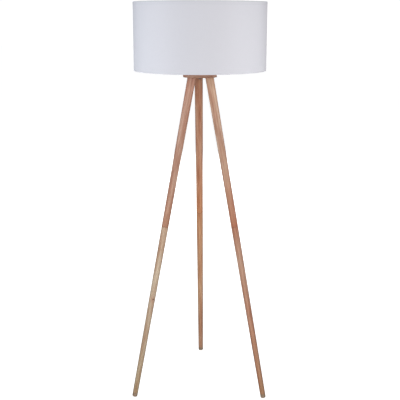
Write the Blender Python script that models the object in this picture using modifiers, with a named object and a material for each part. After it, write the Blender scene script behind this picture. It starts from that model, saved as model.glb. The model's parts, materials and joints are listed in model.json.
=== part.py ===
"""Tripod floor lamp: three turned legs, each of two sections screwed together, under a
round wooden head plate, a lampholder with a rotary switch, a screw-in bulb, and a drum
shade on a wire fitter.

Units are metres, +Z is up, and the lamp faces -Y. The origin is on the floor, at the
centre of the lamp's footprint. The lamp's own axis is upright at (0, AXIS_Y).
"""
import math

import bpy
from mathutils import Matrix, Vector

# ---- driving dimensions -------------------------------------------------------------
LAMP_HEIGHT = 1.530          # floor to the top of the shade
SHADE_DIAMETER = 0.500
SHADE_HEIGHT = 0.252
SHEET = 0.0008               # thickness of the shade's fabric and of its lining
WIRE = 0.0036                # diameter of the shade's rings
ARM_WIRE = 0.0030            # diameter of the fitter's arms

FOOT_CIRCLE = 0.2964         # radius at which the leg axes meet the floor
HEAD_CIRCLE = 0.0392         # radius at which they meet the head plate
HEAD_TWIST = math.radians(8.5)   # the legs' upper ends are turned this far past their feet
LEG_TOP_DIAMETER = 0.032
LEG_FOOT_DIAMETER = 0.0205
LEG_JOINT = 0.684            # height at which a leg's two sections meet
DOWEL_DIAMETER = 0.008       # dowel screw between the sections, half of it in each
DOWEL_LENGTH = 0.060
TIP_HEIGHT = 0.015           # rubber tip, along the leg
PIN_DIAMETER = 0.004         # steel pin between leg and tip, half of it in each
PIN_LENGTH = 0.018
LEG_ANGLES = {"left": math.radians(210), "right": math.radians(330), "back": math.radians(90)}

PLATE_DIAMETER = 0.129
PLATE_THICKNESS = 0.015
PLATE_UNDERSIDE = 1.253

BOLT_DIAMETER = 0.008
INSERT_DIAMETER = 0.012
INSERT_DEPTH = 0.020
STEM_DIAMETER = 0.010
STEM_BORE = 0.0082

CAP_DIAMETER = 0.041         # lampholder cup
BODY_DIAMETER = 0.0385       # threaded body that carries the shade's fitter
KNOB_DIAMETER = 0.014
KNOB_LENGTH = 0.014
GLOBE_DIAMETER = 0.060
BULB_CAP_DIAMETER = 0.0260

GAP = 0.0003                 # clearance between pieces that touch
RUNNING = 0.0003             # extra radius of a hole over the rod in it
CUT_MARGIN = 0.005           # how far a cutter reaches past the face it opens

# ---- levels and directions worked out from them -------------------------------------
LEAN = math.atan2(FOOT_CIRCLE - HEAD_CIRCLE, PLATE_UNDERSIDE)
LEG_RUN = math.sqrt(FOOT_CIRCLE ** 2 + HEAD_CIRCLE ** 2
                    - 2 * FOOT_CIRCLE * HEAD_CIRCLE * math.cos(HEAD_TWIST))
LEG_LENGTH = math.hypot(LEG_RUN, PLATE_UNDERSIDE)    # floor to head plate, along a leg's axis
JOINT_ALONG = LEG_LENGTH * LEG_JOINT / PLATE_UNDERSIDE
CHAMFER = 0.0006             # edge broken on the sections' ends and the tip's upper rim
TIP_CORNER = 0.0045          # rounding of the tip's lower edge
TIP_CUT = 0.0008             # how much of the tip's end the floor's plane cuts off, on its axis
BACK_REACH = (FOOT_CIRCLE + TIP_CORNER + (LEG_FOOT_DIAMETER / 2 - TIP_CORNER) * math.cos(LEAN)
              - (TIP_CORNER - TIP_CUT) * math.sin(LEAN))
AXIS_Y = (SHADE_DIAMETER / 2 - BACK_REACH) / 2

PLATE_TOP = PLATE_UNDERSIDE + PLATE_THICKNESS
CAP_BOTTOM = PLATE_TOP + 0.026
CAP_TOP = CAP_BOTTOM + 0.034
CAP_WALL = 0.0022
BODY_BOTTOM = CAP_TOP + GAP
BODY_TOP = BODY_BOTTOM + 0.048
FITTER_BOTTOM = BODY_BOTTOM + 0.0105
FITTER_THICKNESS = 0.0030
RING_THICKNESS = 0.0065
SHADE_BOTTOM = LAMP_HEIGHT - SHADE_HEIGHT
KNOB_Z = CAP_BOTTOM + 0.016
BULB_TIP = BODY_BOTTOM + 0.0174
BULB_TOP = BULB_TIP + 0.105

AXIS = Vector((0.0, AXIS_Y, 0.0))

SEGMENTS_SMALL = 16
SEGMENTS_ROUND = 24
SEGMENTS_PLATE = 48
SEGMENTS_SHADE = 64


# ---- scene, materials and shared tools ----------------------------------------------
def clear_scene():
    for obj in list(bpy.data.objects):
        bpy.data.objects.remove(obj, do_unlink=True)


def collection(name):
    made = bpy.data.collections.new(name)
    bpy.context.scene.collection.children.link(made)
    return made


def finish(name, colour, roughness, metallic=0.0):
    """A plain surface finish."""
    made = bpy.data.materials.new(name)
    made.use_nodes = True
    shader = made.node_tree.nodes["Principled BSDF"]
    shader.inputs["Base Color"].default_value = (*colour, 1.0)
    shader.inputs["Roughness"].default_value = roughness
    shader.inputs["Metallic"].default_value = metallic
    return made


def place(obj, name, material, home=None):
    """Name an object, give it its finish, and put it in its collection."""
    for owner in list(obj.users_collection):
        owner.objects.unlink(obj)
    (home or LAMP).objects.link(obj)
    obj.name = name
    obj.data.name = name
    obj.data.materials.clear()
    obj.data.materials.append(material)
    return obj


def shade_round(obj, sharp=math.radians(35)):
    obj.data.shade_smooth()
    obj.data.set_sharp_from_angle(angle=sharp)


def apply_modifiers(obj):
    """Keep the shape that the modifiers make, with its round faces shaded smooth."""
    bpy.context.view_layer.update()
    evaluated = obj.evaluated_get(bpy.context.evaluated_depsgraph_get())
    old = obj.data
    made = bpy.data.meshes.new_from_object(evaluated)
    made.name = old.name
    obj.modifiers.clear()
    obj.data = made
    bpy.data.meshes.remove(old)
    shade_round(obj)
    return obj


def turned(name, profile, material, ring=False, steps=SEGMENTS_ROUND, matrix=None):
    """Turn a profile of (radius, height) points about local Z. The points run down the
    outer side. A ring's profile closes on itself, and a solid's ends lie on the axis."""
    count = len(profile)
    edges = [(i, i + 1) for i in range(count - 1)]
    if ring:
        edges.append((count - 1, 0))
    mesh = bpy.data.meshes.new(name)
    mesh.from_pydata([(radius, 0.0, height) for radius, height in profile], edges, [])
    obj = bpy.data.objects.new(name, mesh)
    place(obj, name, material)
    screw = obj.modifiers.new("Turn", "SCREW")
    screw.axis = "Z"
    screw.angle = 2 * math.pi
    screw.steps = steps
    screw.render_steps = steps
    screw.use_merge_vertices = True
    screw.merge_threshold = 1e-5
    obj.matrix_world = matrix or Matrix.Translation(AXIS)
    return apply_modifiers(obj)


def tube_profile(outer, inner, bottom, top):
    """Closed profile of a plain ring or tube, from its two radii and two levels."""
    return [(outer, top), (outer, bottom), (inner, bottom), (inner, top)]


def arc(centre, radius, start, end, count):
    """Points of an arc in a profile. Angles in degrees, 0 outwards and 90 up."""
    points = []
    for i in range(count + 1):
        angle = math.radians(start + (end - start) * i / count)
        points.append((centre[0] + radius * math.cos(angle), centre[1] + radius * math.sin(angle)))
    return points


def cylinder(name, radius, depth, location, material, direction=(0, 0, 1), vertices=SEGMENTS_SMALL,
             home=None):
    """A solid cylinder or, with 6 vertices, a hexagonal nut, centred on its location."""
    bpy.ops.mesh.primitive_cylinder_add(vertices=vertices, radius=radius, depth=depth)
    obj = place(bpy.context.object, name, material, home)
    turn = Vector((0, 0, 1)).rotation_difference(Vector(direction)).to_matrix().to_4x4()
    obj.matrix_world = Matrix.Translation(location) @ turn
    if vertices > 6:
        shade_round(obj)
    return obj


def block(name, size, location, material, home=None):
    """A box centred on its location, with its scale applied."""
    bpy.ops.mesh.primitive_cube_add(size=1)
    obj = place(bpy.context.object, name, material, home)
    obj.data.transform(Matrix.Diagonal((*size, 1.0)))
    obj.matrix_world = Matrix.Translation(location)
    return obj


def bevel(obj, width, angle=math.radians(40)):
    edge = obj.modifiers.new("Edges", "BEVEL")
    edge.width = width
    edge.segments = 1
    edge.limit_method = "ANGLE"
    edge.angle_limit = angle
    return apply_modifiers(obj)


def make_cutter(obj):
    obj.hide_render = True
    obj.display_type = "WIRE"
    return obj


def cut(obj, cutters):
    for cutter in cutters:
        hole = obj.modifiers.new("Cut", "BOOLEAN")
        hole.operation = "DIFFERENCE"
        hole.solver = "EXACT"
        hole.object = cutter
    return apply_modifiers(obj)


def drill(name, radius, bottom, top, point, direction=(0, 0, 1)):
    """A cylindrical cutter through `point`, from `bottom` to `top` along its direction."""
    middle = Vector(point) + Vector(direction) * (bottom + top) / 2
    tool = cylinder(name, radius, top - bottom, middle, FINISH["steel"], direction, home=CUTTERS)
    return make_cutter(tool)


def at_axis(z, x=0.0, y=0.0):
    return AXIS + Vector((x, y, z))


# ---- legs ---------------------------------------------------------------------------
def leg_ends(angle):
    """Where a leg's axis meets the floor and the underside of the head plate."""
    foot = AXIS + Vector((FOOT_CIRCLE * math.cos(angle), FOOT_CIRCLE * math.sin(angle), 0))
    head_angle = angle + HEAD_TWIST
    head = at_axis(PLATE_UNDERSIDE, HEAD_CIRCLE * math.cos(head_angle), HEAD_CIRCLE * math.sin(head_angle))
    return foot, head


def leg_matrix(angle):
    """Local Z runs up the leg from its foot, and local X points away from the lamp's axis."""
    foot, head = leg_ends(angle)
    up = (head - foot).normalized()
    outward = Vector((math.cos(angle), math.sin(angle), 0))
    side = up.cross(outward).normalized()
    frame = Matrix((side.cross(up), side, up)).transposed().to_4x4()
    return Matrix.Translation(foot) @ frame


def bolt_post(angle):
    """The point on the floor under a leg's bolt, which meets the leg's axis at half the
    insert's depth."""
    foot, head = leg_ends(angle)
    middle = head - (head - foot) * (INSERT_DEPTH / 2 / PLATE_UNDERSIDE)
    return Vector((middle.x, middle.y, 0))


def floor_cutter():
    size = 4 * FOOT_CIRCLE
    depth = 0.05
    floor = block("floor_cutter", (size, size, depth), AXIS - Vector((0, 0, depth / 2)), FINISH["steel"],
                  CUTTERS)
    return make_cutter(floor)


def head_cutter():
    """Trims the leg tops level, just under the head plate."""
    size = 4 * HEAD_CIRCLE
    depth = 0.05
    level = PLATE_UNDERSIDE - GAP + depth / 2
    return make_cutter(block("head_cutter", (size, size, depth), at_axis(level), FINISH["steel"], CUTTERS))


def leg_radius(along):
    """Radius of a leg's taper, at a distance from the floor along its axis."""
    foot = LEG_FOOT_DIAMETER / 2
    return foot + (LEG_TOP_DIAMETER / 2 - foot) * along / LEG_LENGTH


def make_lower_leg(side, angle):
    """Lower section, bored below for the tip's pin and above for the dowel screw."""
    top = JOINT_ALONG - GAP / 2
    screw_bore = DOWEL_DIAMETER / 2 + RUNNING
    screw_bore_end = JOINT_ALONG - DOWEL_LENGTH / 2 - GAP
    bottom = TIP_HEIGHT + GAP
    pin_bore = PIN_DIAMETER / 2 + RUNNING
    pin_bore_end = TIP_HEIGHT + PIN_LENGTH / 2 + GAP
    profile = [(0, screw_bore_end),
               (screw_bore, screw_bore_end),
               (screw_bore, top),
               (leg_radius(top) - CHAMFER, top),
               (leg_radius(top), top - CHAMFER),
               (leg_radius(bottom), bottom + CHAMFER),
               (leg_radius(bottom) - CHAMFER, bottom),
               (pin_bore, bottom),
               (pin_bore, pin_bore_end),
               (0, pin_bore_end)]
    turned(f"leg_lower_{side}", profile, FINISH["oak"], matrix=leg_matrix(angle))


def make_upper_leg(side, angle, head_trim):
    """Upper section, bored below for the dowel screw and above for the threaded insert."""
    bottom = JOINT_ALONG + GAP / 2
    screw_bore = DOWEL_DIAMETER / 2 + RUNNING
    screw_bore_end = JOINT_ALONG + DOWEL_LENGTH / 2 + GAP
    end = LEG_LENGTH + 0.012
    profile = [(0, end),
               (leg_radius(end), end),
               (leg_radius(bottom), bottom + CHAMFER),
               (leg_radius(bottom) - CHAMFER, bottom),
               (screw_bore, bottom),
               (screw_bore, screw_bore_end),
               (0, screw_bore_end)]
    leg = turned(f"leg_upper_{side}", profile, FINISH["oak"], matrix=leg_matrix(angle))
    insert_hole = drill(f"insert_hole_{side}", INSERT_DIAMETER / 2 + RUNNING,
                        PLATE_UNDERSIDE - INSERT_DEPTH - 2 * GAP, PLATE_UNDERSIDE + CUT_MARGIN,
                        bolt_post(angle))
    cut(leg, [head_trim, insert_hole])


def make_dowel(side, angle):
    matrix = leg_matrix(angle)
    cylinder(f"leg_dowel_{side}", DOWEL_DIAMETER / 2, DOWEL_LENGTH, matrix @ Vector((0, 0, JOINT_ALONG)),
             FINISH["steel"], matrix.to_3x3() @ Vector((0, 0, 1)))


def make_foot(side, angle, floor):
    """Rubber tip, in line with its leg and cut flat where it stands, and its steel pin."""
    matrix = leg_matrix(angle)
    radius = LEG_FOOT_DIAMETER / 2
    bore = PIN_DIAMETER / 2 + RUNNING
    bore_bottom = TIP_HEIGHT - PIN_LENGTH / 2 - GAP
    profile = [(0, bore_bottom),
               (bore, bore_bottom),
               (bore, TIP_HEIGHT),
               (radius - CHAMFER, TIP_HEIGHT),
               (radius, TIP_HEIGHT - CHAMFER)]
    profile += arc((radius - TIP_CORNER, TIP_CORNER - TIP_CUT), TIP_CORNER, 0, -90, 4)
    profile.append((0, -TIP_CUT))
    tip = turned(f"foot_tip_{side}", profile, FINISH["rubber"], matrix=matrix)
    cut(tip, [floor])
    cylinder(f"foot_pin_{side}", PIN_DIAMETER / 2, PIN_LENGTH, matrix @ Vector((0, 0, TIP_HEIGHT)),
             FINISH["steel"], matrix.to_3x3() @ Vector((0, 0, 1)))


def make_leg_fastening(side, angle):
    """Insert in the leg's top, washer on the plate, and the bolt through all three."""
    post = Matrix.Translation(bolt_post(angle))
    shank = BOLT_DIAMETER / 2
    insert_top = PLATE_UNDERSIDE - GAP
    turned(f"leg_insert_{side}",
           tube_profile(INSERT_DIAMETER / 2, shank + RUNNING, insert_top - INSERT_DEPTH, insert_top),
           FINISH["steel"], ring=True, steps=SEGMENTS_SMALL, matrix=post)
    washer_bottom = PLATE_TOP + GAP
    washer_top = washer_bottom + 0.0016
    turned(f"leg_washer_{side}", tube_profile(0.008, shank + RUNNING, washer_bottom, washer_top),
           FINISH["dark_steel"], ring=True, steps=SEGMENTS_SMALL, matrix=post)
    seat = washer_top + GAP
    crown = seat + 0.0044
    socket_radius = 0.0024
    socket_floor = crown - 0.0025
    shank_end = PLATE_UNDERSIDE - INSERT_DEPTH + 0.001
    bolt = [(0, socket_floor),
            (socket_radius, socket_floor),
            (socket_radius, crown),
            (0.0045, crown),
            (0.0065, seat + 0.0025),
            (0.0070, seat),
            (shank, seat),
            (shank, shank_end + 0.001),
            (shank - 0.001, shank_end),
            (0, shank_end)]
    turned(f"leg_bolt_{side}", bolt, FINISH["dark_steel"], steps=SEGMENTS_SMALL, matrix=post)


# ---- head plate and stem ------------------------------------------------------------
def make_plate():
    plate = cylinder("head_plate", PLATE_DIAMETER / 2, PLATE_THICKNESS,
                     at_axis(PLATE_UNDERSIDE + PLATE_THICKNESS / 2), FINISH["oak"],
                     vertices=SEGMENTS_PLATE)
    bevel(plate, 0.0015)
    bottom = PLATE_UNDERSIDE - CUT_MARGIN
    top = PLATE_TOP + CUT_MARGIN
    holes = [drill("stem_hole", STEM_DIAMETER / 2 + RUNNING, bottom, top, at_axis(0))]
    for side, angle in LEG_ANGLES.items():
        holes.append(drill(f"bolt_hole_{side}", BOLT_DIAMETER / 2 + RUNNING, bottom, top, bolt_post(angle)))
    cut(plate, holes)


def hex_nut(name, across_flats, bottom, thickness, material):
    nut = cylinder(name, across_flats / math.sqrt(3), thickness, at_axis(bottom + thickness / 2),
                   material, vertices=6)
    bore = drill(f"{name}_bore", STEM_DIAMETER / 2 + RUNNING, bottom - CUT_MARGIN,
                 bottom + thickness + CUT_MARGIN, at_axis(0))
    return cut(nut, [bore])


def make_stem():
    """The threaded tube that clamps the lampholder and its collar to the plate."""
    outer = STEM_DIAMETER / 2
    hole = outer + RUNNING
    washer_thickness = 0.0012
    washer_bottom = PLATE_UNDERSIDE - GAP - washer_thickness
    turned("stem_washer", tube_profile(0.0085, hole, washer_bottom, PLATE_UNDERSIDE - GAP),
           FINISH["dark_steel"], ring=True, steps=SEGMENTS_SMALL)
    nut_thickness = 0.0035
    nut_bottom = washer_bottom - GAP - nut_thickness
    hex_nut("stem_nut", 0.014, nut_bottom, nut_thickness, FINISH["dark_steel"])
    tube_bottom = nut_bottom - 0.001
    tube_top = CAP_BOTTOM + 0.008
    bore = STEM_BORE / 2
    turned("stem_tube", tube_profile(outer, bore, tube_bottom, tube_top), FINISH["steel"],
           ring=True, steps=SEGMENTS_SMALL)
    turned("stem_collar", tube_profile(0.010, hole, PLATE_TOP + GAP, CAP_BOTTOM - GAP),
           FINISH["dark_steel"], ring=True, steps=SEGMENTS_SMALL)
    hex_nut("stem_locknut", 0.014, CAP_BOTTOM + CAP_WALL + GAP, 0.003, FINISH["steel"])
    make_gland(tube_bottom, bore - RUNNING)


def make_gland(tube_bottom, sleeve):
    """Bushing pressed into the tube's lower mouth, which keeps the cord off its edge."""
    throat = 0.0031
    rim = STEM_DIAMETER / 2
    rim_top = tube_bottom - GAP
    rim_bottom = rim_top - 0.0014
    sleeve_top = tube_bottom + 0.008
    gland = [(sleeve, sleeve_top),
             (sleeve, rim_top),
             (rim, rim_top),
             (rim, rim_bottom + 0.0006),
             (rim - 0.0006, rim_bottom),
             (throat + 0.0006, rim_bottom),
             (throat, rim_bottom + 0.0006),
             (throat, sleeve_top)]
    turned("cord_gland", gland, FINISH["black_plastic"], ring=True, steps=SEGMENTS_SMALL)


# ---- lampholder and switch ----------------------------------------------------------
def make_lampholder():
    outer = CAP_DIAMETER / 2
    inner = outer - CAP_WALL
    hole = STEM_DIAMETER / 2 + RUNNING
    floor = CAP_BOTTOM + CAP_WALL
    cap = [(outer, CAP_TOP)]
    cap += arc((outer - 0.004, CAP_BOTTOM + 0.004), 0.004, 0, -90, 3)
    cap += [(hole, CAP_BOTTOM),
            (hole, floor),
            (inner, floor),
            (inner, CAP_TOP)]
    cap_obj = turned("holder_cap", cap, FINISH["black_plastic"], ring=True)
    spindle_hole = drill("spindle_hole", 0.003 + RUNNING, outer - 3 * CAP_WALL, outer + CUT_MARGIN,
                         at_axis(KNOB_Z), (0, -1, 0))
    cut(cap_obj, [spindle_hole])

    body_outer = BODY_DIAMETER / 2
    body_inner = body_outer - 0.002
    ledge = 0.0150
    shelf = BODY_BOTTOM + 0.0015
    body = [(body_outer, BODY_TOP),
            (body_outer, BODY_BOTTOM),
            (ledge, BODY_BOTTOM),
            (ledge, shelf),
            (body_inner, shelf),
            (body_inner, BODY_TOP)]
    turned("holder_body", body, FINISH["black_plastic"], ring=True)

    insulator_bottom = shelf + GAP
    insulator_top = insulator_bottom + 0.011
    cylinder("holder_insulator", body_inner - RUNNING, insulator_top - insulator_bottom,
             at_axis((insulator_bottom + insulator_top) / 2), FINISH["ceramic"], vertices=SEGMENTS_ROUND)
    shell_bottom = insulator_top + GAP
    turned("holder_screw_shell", tube_profile(0.0150, 0.0140, shell_bottom, shell_bottom + 0.027),
           FINISH["brass"], ring=True)
    cylinder("holder_centre_contact", 0.005, 0.0030, at_axis(shell_bottom + 0.0015), FINISH["brass"])
    for number, x in ((1, -0.009), (2, 0.009)):
        height = 0.007
        block(f"holder_terminal_{number}", (0.005, 0.008, height),
              at_axis(BODY_BOTTOM - GAP - height / 2, x), FINISH["brass"])


def make_switch():
    """The spindle and its knob turn about a level axis through the cup's front wall."""
    block_depth = 0.016
    socket_depth = 0.004
    spindle_radius = 0.003
    switch = block("switch_block", (0.018, block_depth, 0.011), at_axis(KNOB_Z), FINISH["ceramic"])
    socket = drill("spindle_socket", spindle_radius + RUNNING, block_depth / 2 - socket_depth,
                   block_depth / 2 + CUT_MARGIN, at_axis(KNOB_Z), (0, -1, 0))
    cut(switch, [socket])

    knob_start = CAP_DIAMETER / 2 + 0.004
    knob_floor = knob_start + 0.009
    front = Matrix.Translation(at_axis(KNOB_Z)) @ Matrix.Rotation(math.pi / 2, 4, "X")
    spindle_start = block_depth / 2 - socket_depth + GAP
    spindle_end = knob_floor - GAP
    spindle = [(0, spindle_end),
               (spindle_radius, spindle_end),
               (spindle_radius, spindle_start),
               (0, spindle_start)]
    turned("switch_spindle", spindle, FINISH["steel"], steps=SEGMENTS_SMALL, matrix=front)
    radius = KNOB_DIAMETER / 2
    corner = 0.0015
    end = knob_start + KNOB_LENGTH
    bore = spindle_radius + RUNNING
    knob = [(0, end)]
    knob += list(reversed(arc((radius - corner, end - corner), corner, 0, 90, 3)))
    knob += [(radius, knob_start),
             (bore, knob_start),
             (bore, knob_floor),
             (0, knob_floor)]
    turned("switch_knob", knob, FINISH["black_plastic"], steps=SEGMENTS_SMALL, matrix=front)


# ---- shade --------------------------------------------------------------------------
def wire_ring(name, radius, z, wire, material):
    bpy.ops.mesh.primitive_torus_add(major_radius=radius, minor_radius=wire / 2,
                                     major_segments=SEGMENTS_SHADE, minor_segments=6)
    ring = place(bpy.context.object, name, material)
    ring.location = at_axis(z)
    ring.data.shade_smooth()
    return ring


def make_shade():
    outer = SHADE_DIAMETER / 2
    turned("shade_fabric", tube_profile(outer, outer - SHEET, SHADE_BOTTOM, LAMP_HEIGHT),
           FINISH["fabric"], ring=True, steps=SEGMENTS_SHADE)
    liner = outer - SHEET - GAP
    turned("shade_liner", tube_profile(liner, liner - SHEET, SHADE_BOTTOM, LAMP_HEIGHT),
           FINISH["liner"], ring=True, steps=SEGMENTS_SHADE)
    ring_radius = liner - SHEET - 2 * GAP - WIRE / 2
    inset = WIRE / 2 + GAP
    wire_ring("shade_top_ring", ring_radius, LAMP_HEIGHT - inset, WIRE, FINISH["shade_wire"])
    wire_ring("shade_bottom_ring", ring_radius, SHADE_BOTTOM + inset, WIRE, FINISH["shade_wire"])
    return ring_radius, SHADE_BOTTOM + inset


def make_clamp_rings():
    """The two threaded rings on the lampholder, below and above the shade's fitter."""
    bore = BODY_DIAMETER / 2 + RUNNING
    outer = 0.027
    corner = 0.001
    for name, bottom in (("shade_rest_ring", FITTER_BOTTOM - GAP - RING_THICKNESS),
                         ("shade_ring_nut", FITTER_BOTTOM + FITTER_THICKNESS + GAP)):
        top = bottom + RING_THICKNESS
        profile = [(outer - corner, top),
                   (outer, top - corner),
                   (outer, bottom + corner),
                   (outer - corner, bottom),
                   (bore, bottom),
                   (bore, top)]
        turned(name, profile, FINISH["black_plastic"], ring=True)


def make_fitter(ring_radius, ring_z):
    """A flat ring on the lampholder and three arms that come down to the bottom wire ring."""
    rim = 0.0290
    hub = 0.0202
    turned("fitter_ring", tube_profile(rim, hub, FITTER_BOTTOM, FITTER_BOTTOM + FITTER_THICKNESS),
           FINISH["shade_wire"], ring=True)
    start_radius = rim + GAP
    start_z = FITTER_BOTTOM + FITTER_THICKNESS / 2
    end_radius = ring_radius - WIRE / 2 - 2 * GAP
    flat = 0.020
    bend = 0.012
    for number, angle in enumerate(LEG_ANGLES.values(), start=1):
        away = Vector((math.cos(angle), math.sin(angle), 0))
        route = [(start_radius, start_z),
                 (start_radius + flat, start_z),
                 (start_radius + flat + bend, start_z - bend / 6),
                 (end_radius - bend, ring_z + bend / 6),
                 (end_radius, ring_z)]
        curve = bpy.data.curves.new(f"fitter_arm_{number}", "CURVE")
        curve.dimensions = "3D"
        curve.bevel_depth = ARM_WIRE / 2
        curve.bevel_resolution = 2
        curve.use_fill_caps = True
        spline = curve.splines.new("POLY")
        spline.points.add(len(route) - 1)
        for point, (radius, z) in zip(spline.points, route):
            point.co = (*(away * radius + Vector((0, 0, z))), 1.0)
        arm = bpy.data.objects.new(f"fitter_arm_{number}", curve)
        place(arm, f"fitter_arm_{number}", FINISH["shade_wire"])
        arm.location = AXIS


# ---- bulb ---------------------------------------------------------------------------
def make_bulb():
    cap_radius = BULB_CAP_DIAMETER / 2
    globe = GLOBE_DIAMETER / 2
    wall = 0.0010
    contact_top = BULB_TIP + 0.0012
    cylinder("bulb_tip_contact", 0.0045, contact_top - BULB_TIP, at_axis((BULB_TIP + contact_top) / 2),
             FINISH["nickel"])
    insulator_bottom = contact_top + GAP
    cap_bottom = insulator_bottom + 0.0030
    turned("bulb_insulator",
           [(0, cap_bottom), (0.0095, cap_bottom), (0.0060, insulator_bottom), (0, insulator_bottom)],
           FINISH["black_plastic"], steps=SEGMENTS_SMALL)
    cap_top = cap_bottom + 0.0210
    cap = [(0, cap_top),
           (cap_radius, cap_top),
           (cap_radius, cap_bottom + 0.002 + GAP),
           (cap_radius - 0.002, cap_bottom + GAP),
           (0, cap_bottom + GAP)]
    turned("bulb_cap", cap, FINISH["nickel"])
    collar_bottom = cap_top + GAP
    collar_top = collar_bottom + 0.022
    collar_radius = 0.0215
    collar = [(0, collar_top),
              (collar_radius, collar_top),
              (cap_radius + 0.002, collar_bottom + 0.002),
              (cap_radius, collar_bottom),
              (0, collar_bottom)]
    turned("bulb_collar", collar, FINISH["bulb_plastic"])
    board_bottom = collar_top + GAP
    cylinder("bulb_board", 0.0160, 0.0012, at_axis(board_bottom + 0.0006), FINISH["board"])

    centre = (0, BULB_TOP - globe)
    neck = collar_radius
    meet = -math.degrees(math.acos(neck / globe))
    outside = arc(centre, globe, 90, meet, 9)
    inside = arc(centre, globe - wall, meet, 90, 9)
    skirt = [(neck, board_bottom), (neck - wall, board_bottom)]
    profile = [(0, BULB_TOP)] + outside[1:] + skirt + inside[:-1] + [(0, BULB_TOP - wall)]
    turned("bulb_globe", profile, FINISH["opal"])


# ---- the whole lamp -----------------------------------------------------------------
def main():
    floor = floor_cutter()
    head_trim = head_cutter()
    for side, angle in LEG_ANGLES.items():
        make_lower_leg(side, angle)
        make_upper_leg(side, angle, head_trim)
        make_dowel(side, angle)
        make_foot(side, angle, floor)
        make_leg_fastening(side, angle)
    make_plate()
    make_stem()
    make_lampholder()
    make_switch()
    make_clamp_rings()
    ring_radius, ring_z = make_shade()
    make_fitter(ring_radius, ring_z)
    make_bulb()


clear_scene()
LAMP = collection("tripod_floor_lamp")
CUTTERS = collection("cutters")
FINISH = {
    "oak": finish("oak", (0.42, 0.24, 0.16), 0.55),
    "rubber": finish("rubber", (0.20, 0.16, 0.13), 0.80),
    "dark_steel": finish("satin_dark_steel", (0.14, 0.13, 0.12), 0.45, 0.8),
    "steel": finish("zinc_steel", (0.55, 0.55, 0.55), 0.35, 1.0),
    "brass": finish("brass", (0.65, 0.48, 0.22), 0.35, 1.0),
    "nickel": finish("nickel", (0.66, 0.64, 0.60), 0.30, 1.0),
    "black_plastic": finish("black_plastic", (0.03, 0.03, 0.03), 0.45),
    "bulb_plastic": finish("white_plastic", (0.80, 0.80, 0.80), 0.40),
    "ceramic": finish("ceramic", (0.78, 0.76, 0.72), 0.35),
    "board": finish("light_board", (0.75, 0.75, 0.72), 0.50),
    "fabric": finish("shade_fabric", (0.62, 0.62, 0.66), 0.90),
    "liner": finish("shade_liner", (0.80, 0.80, 0.80), 0.50),
    "shade_wire": finish("white_wire", (0.75, 0.75, 0.75), 0.40),
    "opal": finish("opal_diffuser", (0.85, 0.85, 0.83), 0.30),
}
main()
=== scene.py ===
"""Looks of the tripod floor lamp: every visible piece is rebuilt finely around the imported
CAD frame, and every surface gets a procedural material. Units are metres, +Z is up."""
import json
import math

import bpy
import numpy as np
from mathutils import Matrix, Vector


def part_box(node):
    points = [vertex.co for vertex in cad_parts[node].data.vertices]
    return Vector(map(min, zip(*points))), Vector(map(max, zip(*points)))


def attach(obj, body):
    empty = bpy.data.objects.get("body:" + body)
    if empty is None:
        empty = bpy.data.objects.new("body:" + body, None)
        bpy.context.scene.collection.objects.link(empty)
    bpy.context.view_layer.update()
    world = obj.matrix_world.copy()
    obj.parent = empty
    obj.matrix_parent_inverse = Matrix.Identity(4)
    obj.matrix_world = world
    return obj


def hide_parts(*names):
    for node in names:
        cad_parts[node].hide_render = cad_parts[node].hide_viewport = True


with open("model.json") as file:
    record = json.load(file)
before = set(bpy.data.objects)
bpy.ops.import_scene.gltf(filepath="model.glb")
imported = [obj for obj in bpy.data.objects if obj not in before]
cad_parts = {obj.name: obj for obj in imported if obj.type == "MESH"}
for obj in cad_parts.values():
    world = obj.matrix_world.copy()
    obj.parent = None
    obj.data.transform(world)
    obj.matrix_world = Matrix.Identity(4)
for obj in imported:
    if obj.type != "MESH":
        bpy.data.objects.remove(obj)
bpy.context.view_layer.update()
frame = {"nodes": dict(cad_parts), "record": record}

# ---- places read from the frame -------------------------------------------------------
SIDES = ("left", "right", "back")
SHADE_LOW, SHADE_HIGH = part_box("shade_fabric")
AXIS = Vector(((SHADE_LOW.x + SHADE_HIGH.x) / 2, (SHADE_LOW.y + SHADE_HIGH.y) / 2, 0))
SHADE_RADIUS = (SHADE_HIGH.x - SHADE_LOW.x) / 2
MOUNTS = {mount["name"]: Vector(mount["pos_m"]) for mount in frame["record"]["mounts"]}


def low(node):
    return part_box(node)[0].z


def high(node):
    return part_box(node)[1].z


def levels(node):
    """Top and bottom of a node."""
    return high(node), low(node)


def radius_of(node):
    lowest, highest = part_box(node)
    return (highest.x - lowest.x) / 2


def round_box(node):
    """Radius, top and bottom of a round node."""
    return (radius_of(node), *levels(node))


def centre_of(node):
    lowest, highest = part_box(node)
    return (lowest + highest) / 2


def leg_frame(side):
    """Local Z runs up the leg's axis from the floor, and local X points outwards."""
    foot = MOUNTS[f"floor_{side}"].copy()
    foot.z = 0
    head = centre_of(f"leg_insert_{side}")
    up = (head - foot).normalized()
    outward = (foot - AXIS).normalized()
    across = up.cross(outward).normalized()
    axes = Matrix((across.cross(up), across, up)).transposed().to_4x4()
    return Matrix.Translation(foot) @ axes


def joint_along(side):
    """Distance from the floor, along a leg's axis, to the joint between its sections."""
    return (leg_frame(side).inverted() @ centre_of(f"leg_dowel_{side}")).z


def section_ends(side, section):
    """Lower and upper end of a leg section, as distances along the leg's axis."""
    to_leg = leg_frame(side).inverted()
    if section == "upper":
        return joint_along(side) + LIP / 2, (to_leg @ centre_of(f"leg_insert_{side}")).z
    return (to_leg @ centre_of(f"foot_pin_{side}")).z + LIP, joint_along(side) - LIP / 2


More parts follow.
